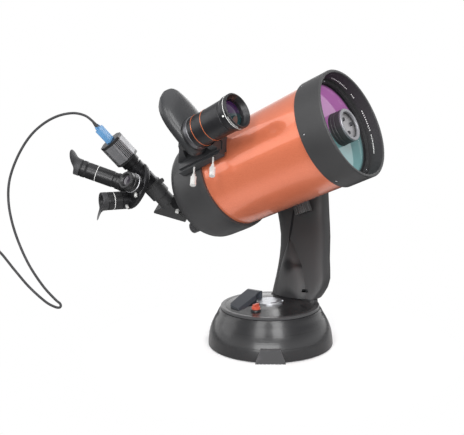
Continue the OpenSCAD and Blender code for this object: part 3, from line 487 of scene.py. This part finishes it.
def camera_case():
    """Grey case between black caps, with painted shade inside its cooling slots."""
    look = banded("camera_case", (0.25, 0.25, 0.26), HEAD_AT, PORT_AXIS[0],
                  [(0.0, 0.1405, BARREL_BLACK, 0.2), (0.1895, 0.3, BARREL_BLACK, 0.2)], 0.36, 0.6)
    over, aside = (look.math("ABSOLUTE", look.dot(CAMERA_CASE.col[k], HEAD_AT)) for k in (0, 1))
    flat_skin = look.span(look.math("MAXIMUM", over, aside), 0.0282, 0.0284)
    bevel_skin = look.span(look.math("ADD", over, aside), 0.0396, 0.0399)
    skin = look.math("MAXIMUM", flat_skin, bevel_skin)
    # below the outer skin, inside the slots, the colour is a painted shade
    look.set(colour=look.mix(skin, (0.006, 0.006, 0.007), look.fed("colour")))
    return look


long_look = banded("long_eyepiece_barrel", BARREL_BLACK, HEAD_AT, PORT_AXIS[1],
                   [(0.1760, 0.1774, WHITE_MARK, 0.0)])
short_look = banded("short_eyepiece_barrel", BARREL_BLACK, HEAD_AT, PORT_AXIS[2],
                    [(0.1320, 0.1334, WHITE_MARK, 0.0)])
near_look = banded("near_eyepiece_barrel", BARREL_BLACK, HEAD_AT, PORT_AXIS[3],
                   [(0.1172, 0.1180, (0.6, 0.6, 0.62), 0.6)])
finder_look = banded("finder_barrel", (0.018, 0.018, 0.020), FINDER_CENTRE, FORWARD,
                     [(-0.0500, -0.0412, (0.15, 0.15, 0.16), 0.8)])
camera_look = camera_case()
white_mark = printed("white_print", WHITE_MARK, (0.92, 0.92, 0.90), 900, 1500, 0.1)
arrow_look = printed("grey_print", (0.10, 0.10, 0.11), (0.15, 0.15, 0.16), 700, 1200, 0.15)

LOOKS = {
    "base_shell": base_plastic, "base_plate": cast_metal, "base_feet": foot_rubber,
    "azimuth_gear": gear_brass, "azimuth_bearing": dull_steel, "turntable": gloss_black,
    "battery_cover": silver, "control_pod": graphite, "power_knob": knob_orange,
    "azimuth_motor": dull_steel, "azimuth_pinion": gear_brass,
    "arm_inner_cover": arm_plastic, "arm_outer_cover": arm_plastic, "arm_frame": cast_metal,
    "altitude_bearings": dull_steel, "altitude_motor": dull_steel, "altitude_pinion": gear_brass,
    "altitude_shaft": dull_steel, "altitude_gear": gear_brass, "saddle": anodised, "clamp_jaw": dull_steel,
    "clamp_knob": satin_black, "dovetail_bar": anodised, "tube": paint, "front_cell": satin_black,
    "corrector_lens": corrector, "retaining_ring": satin_black, "secondary_housing": satin_black,
    "secondary_ring": grey_ring, "secondary_plate": grey_plate, "secondary_mirror": mirror,
    "collimation_screws": dark_steel, "primary_mirror": mirror, "mirror_carrier": cast_metal,
    "baffle_tube": satin_black, "rear_cell": satin_black, "focus_knob": black_rubber, "visual_back": anodised,
    "visual_back_screw": nickel, "finder_shoe": finder_shell, "finder_bracket": finder_shell,
    "finder_screw_rear": nickel, "finder_screw_front": nickel, "finder_body": finder_shell,
    "finder_barrel": finder_look, "finder_rings": ring_orange, "finder_lens": finder_glass,
    "diagonal_body": satin_black, "diagonal_mirror": mirror, "diagonal_screw": satin_black,
    "turret_base": turned_black, "turret_head": turned_black, "port_screws": nickel,
    "long_eyepiece": long_look, "short_eyepiece": short_look, "near_eyepiece": near_look,
    "eyecups": black_rubber, "camera_body": camera_look, "camera_plug": blue_plug, "cable": black_rubber,
}
for name, look in LOOKS.items():
    slots = nodes[name].material_slots
    if not slots:
        nodes[name].data.materials.append(look.mat)
    for s in slots:
        s.material = look.mat


def smooth_shaded(name, degrees):
    """Rounds the shading over a node's small faces, up to an angle. Its shape stays as it is."""
    group = bpy.data.node_groups.new("smooth_" + name, "GeometryNodeTree")
    for way in ("INPUT", "OUTPUT"):
        group.interface.new_socket("Geometry", in_out=way, socket_type="NodeSocketGeometry")
    add = group.nodes.new
    source, result = add("NodeGroupInput"), add("NodeGroupOutput")
    merge, plain = add("GeometryNodeMergeByDistance"), add("GeometryNodeRemoveAttribute")
    faces, edges = add("GeometryNodeSetShadeSmooth"), add("GeometryNodeSetShadeSmooth")
    angle, sharp = add("GeometryNodeInputMeshEdgeAngle"), add("ShaderNodeMath")
    merge.inputs["Distance"].default_value = 0.00001
    plain.inputs["Name"].default_value = "custom_normal"
    edges.domain = "EDGE"
    edges.inputs["Shade Smooth"].default_value = False
    sharp.operation = "GREATER_THAN"
    sharp.inputs[1].default_value = math.radians(degrees)
    for a, b in ((source.outputs[0], merge.inputs["Geometry"]), (merge.outputs[0], plain.inputs["Geometry"]),
                 (plain.outputs[0], faces.inputs[0]), (faces.outputs[0], edges.inputs[0]),
                 (angle.outputs["Unsigned Angle"], sharp.inputs[0]),
                 (sharp.outputs[0], edges.inputs["Selection"]), (edges.outputs[0], result.inputs[0])):
        group.links.new(a, b)
    nodes[name].modifiers.new("smooth", "NODES").node_group = group


for name, degrees in (("arm_inner_cover", 28), ("arm_outer_cover", 28), ("finder_body", 40), ("eyecups", 45),
                      ("finder_bracket", 20), ("mirror_carrier", 30)):
    smooth_shaded(name, degrees)


# ---- pieces added to the frame ----
def mesh_piece(name, verts, faces, look, body, smooth=False):
    """A mesh that rides on a body, with its faces turned outwards."""
    mesh = bpy.data.meshes.new(name)
    mesh.from_pydata([tuple(v) for v in verts], [], faces)
    mesh.validate()
    bm = bmesh.new()
    bm.from_mesh(mesh)
    bmesh.ops.recalc_face_normals(bm, faces=bm.faces)
    bm.to_mesh(mesh)
    bm.free()
    mesh.materials.append(look.mat)
    obj = bpy.data.objects.new(name, mesh)
    bpy.context.scene.collection.objects.link(obj)
    if smooth:
        for p in mesh.polygons:
            p.use_smooth = True
    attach(obj, body)
    return obj


def frame_of(axis):
    axis = Vector(axis).normalized()
    side = axis.orthogonal().normalized()
    return side, axis.cross(side), axis


def lathe(name, profile, origin, axis, look, body, count):
    """profile: a closed loop of (radius, height) pairs, turned round the axis."""
    side, lift, axis = frame_of(axis)
    verts, faces = [], []
    for i in range(count):
        a = 2 * math.pi * i / count
        out = math.cos(a) * side + math.sin(a) * lift
        verts += [Vector(origin) + r * out + h * axis for r, h in profile]
    n = len(profile)
    for i in range(count):
        j = (i + 1) % count
        for k in range(n):
            m = (k + 1) % n
            faces.append((i * n + k, j * n + k, j * n + m, i * n + m))
    obj = mesh_piece(name, verts, faces, look, body, smooth=True)
    obj.modifiers.new("edges", "EDGE_SPLIT").split_angle = math.radians(32)
    return obj


def middle_of(ring):
    """The centre of some points of a mesh, added up in their own order."""
    ordered = sorted(ring, key=lambda point: point.index)
    return sum((point.co for point in ordered), Vector()) / len(ordered)


def cable_line(sides=10, tucked_in=0.0009):
    """The points of the cable's centre line, read from the rings of its CAD shape in the frame.

    The rings are found one after another, outwards from the camera's plug, with two rings to each point."""
    low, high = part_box("camera_plug")
    plug = (low + high) / 2
    shape = bmesh.new()
    shape.from_mesh(nodes["cable"].data)
    bmesh.ops.remove_doubles(shape, verts=shape.verts, dist=0.00001)
    shape.verts.index_update()
    ring = set(sorted(shape.verts, key=lambda v: (v.co - plug).length)[:sides])
    seen, rings = set(), []
    while len(ring) == sides:
        seen |= ring
        rings.append(middle_of(ring))
        ring = {edge.other_vert(v) for v in ring for edge in v.link_edges} - seen
    shape.free()
    # the end plug hides the last ring: the curve's last point follows from the middle of its last step
    end = 2 * rings[-1] - 1.125 * rings[-2] + 0.125 * rings[-4]
    start = rings[0] + tucked_in * (rings[0] - rings[2]).normalized()
    return [start, *rings[2::2], end]


CABLE_PATH = cable_line()


def cord(name, points, radius, look, body):
    """A round cord along the points."""
    curve = bpy.data.curves.new(name, "CURVE")
    curve.dimensions = "3D"
    curve.bevel_depth = radius
    curve.bevel_resolution = 5
    curve.use_fill_caps = True
    spline = curve.splines.new("POLY")
    spline.points.add(len(points) - 1)
    for target, p in zip(spline.points, points):
        target.co = (*p, 1)
    spline.use_smooth = True
    curve.materials.append(look.mat)
    obj = bpy.data.objects.new(name, curve)
    bpy.context.scene.collection.objects.link(obj)
    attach(obj, body)
    return obj


def smooth_path(points, per):
    """Catmull-Rom curve through the points, in so many steps from each point to the next."""
    pts = [Vector(p) for p in points]
    out = []
    for i in range(len(pts) - 1):
        a, b, c, d = pts[max(i - 1, 0)], pts[i], pts[i + 1], pts[min(i + 2, len(pts) - 1)]
        for k in range(per):
            f = k / per
            out.append(0.5 * (2 * b + (c - a) * f + (2 * a - 5 * b + 4 * c - d) * f ** 2
                              + (3 * b - a - 3 * c + d) * f ** 3))
    return out + [pts[-1]]


def rounded_box(name, origin, matrix, low, high, look, body, radius):
    """A box with rounded edges in a turned frame."""
    verts = [Vector(origin) + matrix @ Vector((x, y, z))
             for z in (low[2], high[2]) for y in (low[1], high[1]) for x in (low[0], high[0])]
    faces = [(0, 2, 3, 1), (4, 5, 7, 6), (0, 1, 5, 4), (2, 6, 7, 3), (0, 4, 6, 2), (1, 3, 7, 5)]
    obj = mesh_piece(name, verts, faces, look, body, smooth=True)
    bevel = obj.modifiers.new("round", "BEVEL")
    bevel.width = radius
    bevel.segments = 3
    bevel.use_clamp_overlap = True
    return obj


def screw_head(name, origin, axis, radius, look, body):
    """A domed screw head with a recess, turned from a profile."""
    h = 0.7 * radius
    profile = [(0.0, h * 0.55), (radius * 0.42, h * 0.55), (radius * 0.5, h), (radius * 0.8, h * 0.92),
               (radius, h * 0.5), (radius, 0.0), (0.0, 0.0)]
    return lathe(name, profile, origin, axis, look, body, 32)


def cable_boot():
    """A ribbed, tapering sleeve over the start of the cable."""
    start, second = Vector(CABLE_PATH[0]), Vector(CABLE_PATH[1])
    axis = (second - start).normalized()
    profile = [(0.0031, 0.0), (0.0058, 0.0)]
    for k in range(5):
        z = 0.002 + 0.003 * k
        r = 0.0056 - 0.0005 * k
        profile += [(r, z), (r, z + 0.0016), (r - 0.0009, z + 0.0018), (r - 0.0009, z + 0.0028)]
    profile += [(0.0031, 0.018)]
    lathe("cable_boot", profile, start - 0.003 * axis, axis, black_rubber, "turret", 40)


def cable_end_plug():
    """A flat plug on the floor at the free end: a rubber grip and a metal shell."""
    end, before = Vector(CABLE_PATH[-1]), Vector(CABLE_PATH[-2])
    axis = end - before
    axis.z = 0
    axis.normalize()
    upright = Vector((0, 0, 1))
    turn = Matrix((axis, upright.cross(axis), upright)).transposed()
    rounded_box("cable_plug_grip", end, turn, (-0.004, -0.006, -0.0036), (0.020, 0.006, 0.0036),
                black_rubber, "turret", 0.0016)
    rounded_box("cable_plug_shell", end, turn, (0.019, -0.0045, -0.0023), (0.031, 0.0045, 0.0023),
                chrome, "turret", 0.0004)


CABLE_RADIUS = 0.003
cable = cord("signal_cable", smooth_path(CABLE_PATH, 8), CABLE_RADIUS, black_rubber, "turret")
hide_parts("cable")
cable_boot()
cable_end_plug()


def ring_marks(name, groups, radius, along, width, origin, direction, out, side):
    """Short raised white marks on a round wall of the tube's body, from a radius inwards.

    groups: (first angle, last angle, step, share of the step that a mark covers), in degrees."""
    inward = 0.0003
    verts, faces = [], []
    for first, last, step, share in groups:
        count = max(1, int(round((last - first) / step)))
        for i in range(count):
            a0 = first + i * step
            angles = [math.radians(a0 + step * share * f) for f in (0, 0.5, 1)]
            base = len(verts)
            for a in angles:
                ray = math.cos(a) * out + math.sin(a) * side
                for r, z in ((radius, along), (radius - inward, along), (radius - inward, along + width),
                             (radius, along + width)):
                    verts.append(origin + r * ray + z * direction)
            for seg in range(2):
                b = base + 4 * seg
                for k in range(4):
                    m = (k + 1) % 4
                    faces.append((b + k, b + 4 + k, b + 4 + m, b + m))
            faces.append((base, base + 1, base + 2, base + 3))
            faces.append((base + 8, base + 11, base + 10, base + 9))
    return mesh_piece(name, verts, faces, white_mark, "optical_tube")


# pale divisions on the inner wall of the front ring, in place of printing
RING_WALL_R, SCALE_ALONG = 0.10975, 0.2000
ring_marks("front_ring_scale", [(236, 262, 2.1, 0.6), (265, 290, 2.6, 0.55), (307, 314, 2.4, 0.6),
                                (322, 352, 2.3, 0.6)],
           RING_WALL_R, SCALE_ALONG, 0.0020, TUBE_CENTRE, FORWARD, UP, OPEN_SIDE)

# bright screws round the front ring and two clips on the retaining ring
SCREW_R, SCREW_ALONG = 0.1154, 0.1725
CLIP_R, CLIP_ALONG = 0.1062, 0.191
for i, angle in enumerate(range(32, 392, 60)):
    ray = round_tube(angle)
    screw_head(f"front_ring_screw_{i + 1}", TUBE_CENTRE + SCREW_ALONG * FORWARD + SCREW_R * ray, ray,
               0.0022, chrome, "optical_tube")
for i, angle in enumerate((0, 208)):
    ray = round_tube(angle)
    rounded_box(f"corrector_clip_{i + 1}", TUBE_CENTRE + CLIP_ALONG * FORWARD + CLIP_R * ray,
                Matrix((ray, FORWARD.cross(ray), FORWARD)).transposed(),
                (-0.0030, -0.0028, 0), (0.0022, 0.0028, 0.0018), chrome, "optical_tube", 0.0005)

# alignment camera: a white ring, small marks and an index dot near its front
COLLAR_R = 0.0374
DOT_ANGLE = math.radians(42)
dot_ray = math.cos(DOT_ANGLE) * FINDER_OUT + math.sin(DOT_ANGLE) * FINDER_SIDE
lathe("finder_white_ring", [(COLLAR_R, 0.0640), (0.03765, 0.0640), (0.03765, 0.0651), (COLLAR_R, 0.0651)],
      FINDER_CENTRE, FORWARD, white_mark, "optical_tube", 120)
ring_marks("finder_ring_marks", [(50, 100, 3.2, 0.5)], 0.0377, 0.0672, 0.0016,
           FINDER_CENTRE, FORWARD, FINDER_OUT, FINDER_SIDE)
lathe("finder_index_dot", [(0.0, 0.0004), (0.0019, 0.0004), (0.0022, 0.0), (0.0, 0.0)],
      FINDER_CENTRE + 0.0590 * FORWARD + COLLAR_R * dot_ray, dot_ray, white_mark, "optical_tube", 32)

# eyepiece glasses, domed: port, distance along it and radius
for port, top, radius in ((1, 0.2242, 0.0119), (2, 0.1542, 0.0109), (3, 0.1355, 0.0119)):
    dome = [(0.0, 0.0022), (radius * 0.35, 0.0020), (radius * 0.7, 0.0013), (radius, 0.0002),
            (radius, -0.0004), (0.0, -0.0004)]
    lathe(f"eyepiece_glass_{port}", dome, HEAD_AT + top * PORT_AXIS[port], PORT_AXIS[port],
          eye_glass, "turret", 48)


def arrow_outline():
    """A curved arrow round the turntable's axis: its outer edge, its head and its inner edge."""
    tail, neck, tip, steps = -50, 30, 52, 16
    sweep = [tail + (neck - tail) * i / steps for i in range(steps + 1)]
    outer = [(0.0215, degrees) for degrees in sweep]
    head = [(0.0250, neck), (0.0190, tip), (0.0130, neck)]
    inner = [(0.0165, degrees) for degrees in reversed(sweep)]
    return [(r * math.cos(math.radians(degrees)), r * math.sin(math.radians(degrees)))
            for r, degrees in outer + head + inner]


def lid_arrow(height=0.0003):
    """A thin grey arrow printed on the lid of the turntable."""
    points = arrow_outline()
    count = len(points)
    lid_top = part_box("battery_cover")[1].z
    verts = [(x, y, z) for z in (lid_top, lid_top + height) for x, y in points]
    faces = [tuple(range(count - 1, -1, -1)), tuple(range(count, 2 * count))]
    faces += [(i, (i + 1) % count, count + (i + 1) % count, count + i) for i in range(count)]
    mesh_piece("lid_arrow", verts, faces, arrow_look, "battery_cover")


lid_arrow()


# ---- stage, light and camera ----
WHITE = (1.0, 1.0, 1.0)


def floor_stage():
    """A white floor of which the camera sees only the contact shadow.

    Reflections see it as dark away from the object, and it lights the object's undersides softly."""
    look = Look("floor", 0.7)
    light_path = look.node("ShaderNodeLightPath")
    seen, spread = light_path.outputs["Is Camera Ray"], light_path.outputs["Is Diffuse Ray"]
    away = look.radius((0, 0, 0), (0, 0, 1))
    open_floor = look.span(away, 0.14, 0.42)
    tone = look.mix(look.noise(3, 2), (0.86, 0.86, 0.86), (0.88, 0.88, 0.88))
    seen_tone = look.mix(open_floor, tone, (0.0, 0.0, 0.0))
    mirrored_tone = look.mix(look.span(away, 0.30, 0.60), (0.55, 0.55, 0.55), (0.05, 0.05, 0.05))
    look.set(colour=look.mix(seen, mirrored_tone, seen_tone), emission=WHITE, specular=0.0)
    camera_glow = look.math("MULTIPLY", seen, look.mix_value(open_floor, 0.12, 1.0))
    look.set(glow=look.math("ADD", camera_glow, look.math("MULTIPLY", spread, 0.55)))
    bpy.ops.mesh.primitive_circle_add(vertices=64, radius=12, fill_type="NGON", location=(0, 0, -0.0002))
    floor = bpy.context.object
    floor.name = "floor"
    floor.data.materials.append(look.mat)


def studio_world():
    """White to the camera, an even grey for soft light, and brighter near the horizon in reflections."""
    world = bpy.data.worlds.new("studio")
    bpy.context.scene.world = world
    world.use_nodes = True
    tree = world.node_tree
    add, link = tree.nodes.new, tree.links.new
    path, direction = add("ShaderNodeLightPath"), add("ShaderNodeTexCoord")
    parts, ramp, shine = add("ShaderNodeSeparateXYZ"), add("ShaderNodeValToRGB"), add("ShaderNodeVectorMath")
    fill, mixer = add("ShaderNodeMix"), add("ShaderNodeMix")
    low, high = ramp.color_ramp.elements
    low.position, low.color = 0.0, (*WHITE, 1)
    high.position, high.color = 0.5, (0.26, 0.26, 0.265, 1)
    link(direction.outputs["Generated"], parts.inputs[0])
    link(parts.outputs["Z"], ramp.inputs[0])
    shine.operation = "SCALE"
    shine.inputs["Scale"].default_value = 1.6
    link(ramp.outputs[0], shine.inputs[0])
    fill.data_type = mixer.data_type = "RGBA"
    fill.inputs[6].default_value = (0.62, 0.62, 0.63, 1)
    link(path.outputs["Is Glossy Ray"], fill.inputs[0])
    link(shine.outputs[0], fill.inputs[7])
    mixer.inputs[7].default_value = (*WHITE, 1)
    link(path.outputs["Is Camera Ray"], mixer.inputs[0])
    link(fill.outputs[2], mixer.inputs[6])
    link(mixer.outputs[2], tree.nodes["Background"].inputs["Color"])


def softbox(name, at, target, width, height, power):
    """An area light of so many watts, turned to a target."""
    light = bpy.data.lights.new(name, "AREA")
    light.shape = "RECTANGLE"
    light.size, light.size_y = width, height
    light.energy = power
    obj = bpy.data.objects.new(name, light)
    bpy.context.scene.collection.objects.link(obj)
    obj.location = at
    obj.rotation_euler = (Vector(target) - Vector(at)).to_track_quat("-Z", "Y").to_euler()


# where the viewer stands: the azimuth goes round from the open side, and the roll tips the picture
AZIMUTH, ELEVATION, ROLL = math.radians(38.0), math.radians(7.7), math.radians(-1.0)
CAMERA_AT = (0.7992, -1.1587, 0.4809)
FOCAL_LENGTH = 48.78


def viewer():
    """A camera at the viewer's place and angle."""
    back = Vector((math.sin(AZIMUTH) * math.cos(ELEVATION), -math.cos(AZIMUTH) * math.cos(ELEVATION),
                   math.sin(ELEVATION)))
    level_right = Vector((math.cos(AZIMUTH), math.sin(AZIMUTH), 0))
    level_up = back.cross(level_right)
    right = math.cos(ROLL) * level_right + math.sin(ROLL) * level_up
    up = -math.sin(ROLL) * level_right + math.cos(ROLL) * level_up
    lens = bpy.data.cameras.new("camera")
    lens.sensor_width = 36
    lens.sensor_fit = "HORIZONTAL"
    lens.lens = FOCAL_LENGTH
    lens.clip_start = 0.05
    lens.clip_end = 60
    camera = bpy.data.objects.new("camera", lens)
    bpy.context.scene.collection.objects.link(camera)
    camera.matrix_world = Matrix.Translation(CAMERA_AT) @ Matrix((right, up, back)).transposed().to_4x4()
    bpy.context.scene.camera = camera


floor_stage()
studio_world()
softbox("key_left", (0.42, -1.95, 1.85), (0, 0, 0.25), 0.8, 1.2, 16)
softbox("key_right", (1.55, -1.25, 1.85), (0, 0, 0.25), 0.8, 1.2, 24)
softbox("top", (0.1, 0.1, 2.4), (0, 0, 0.3), 2.6, 2.0, 11)
softbox("front", (1.5, -2.7, 0.55), (0, 0, 0.40), 2.6, 0.9, 52)
softbox("side", (-2.2, -1.2, 1.4), (0, 0, 0.35), 1.6, 1.6, 10)
softbox("rear", (-0.6, 2.4, 1.6), (0, 0, 0.3), 1.8, 1.2, 20)
viewer()
bpy.context.scene.view_settings.view_transform = "Standard"
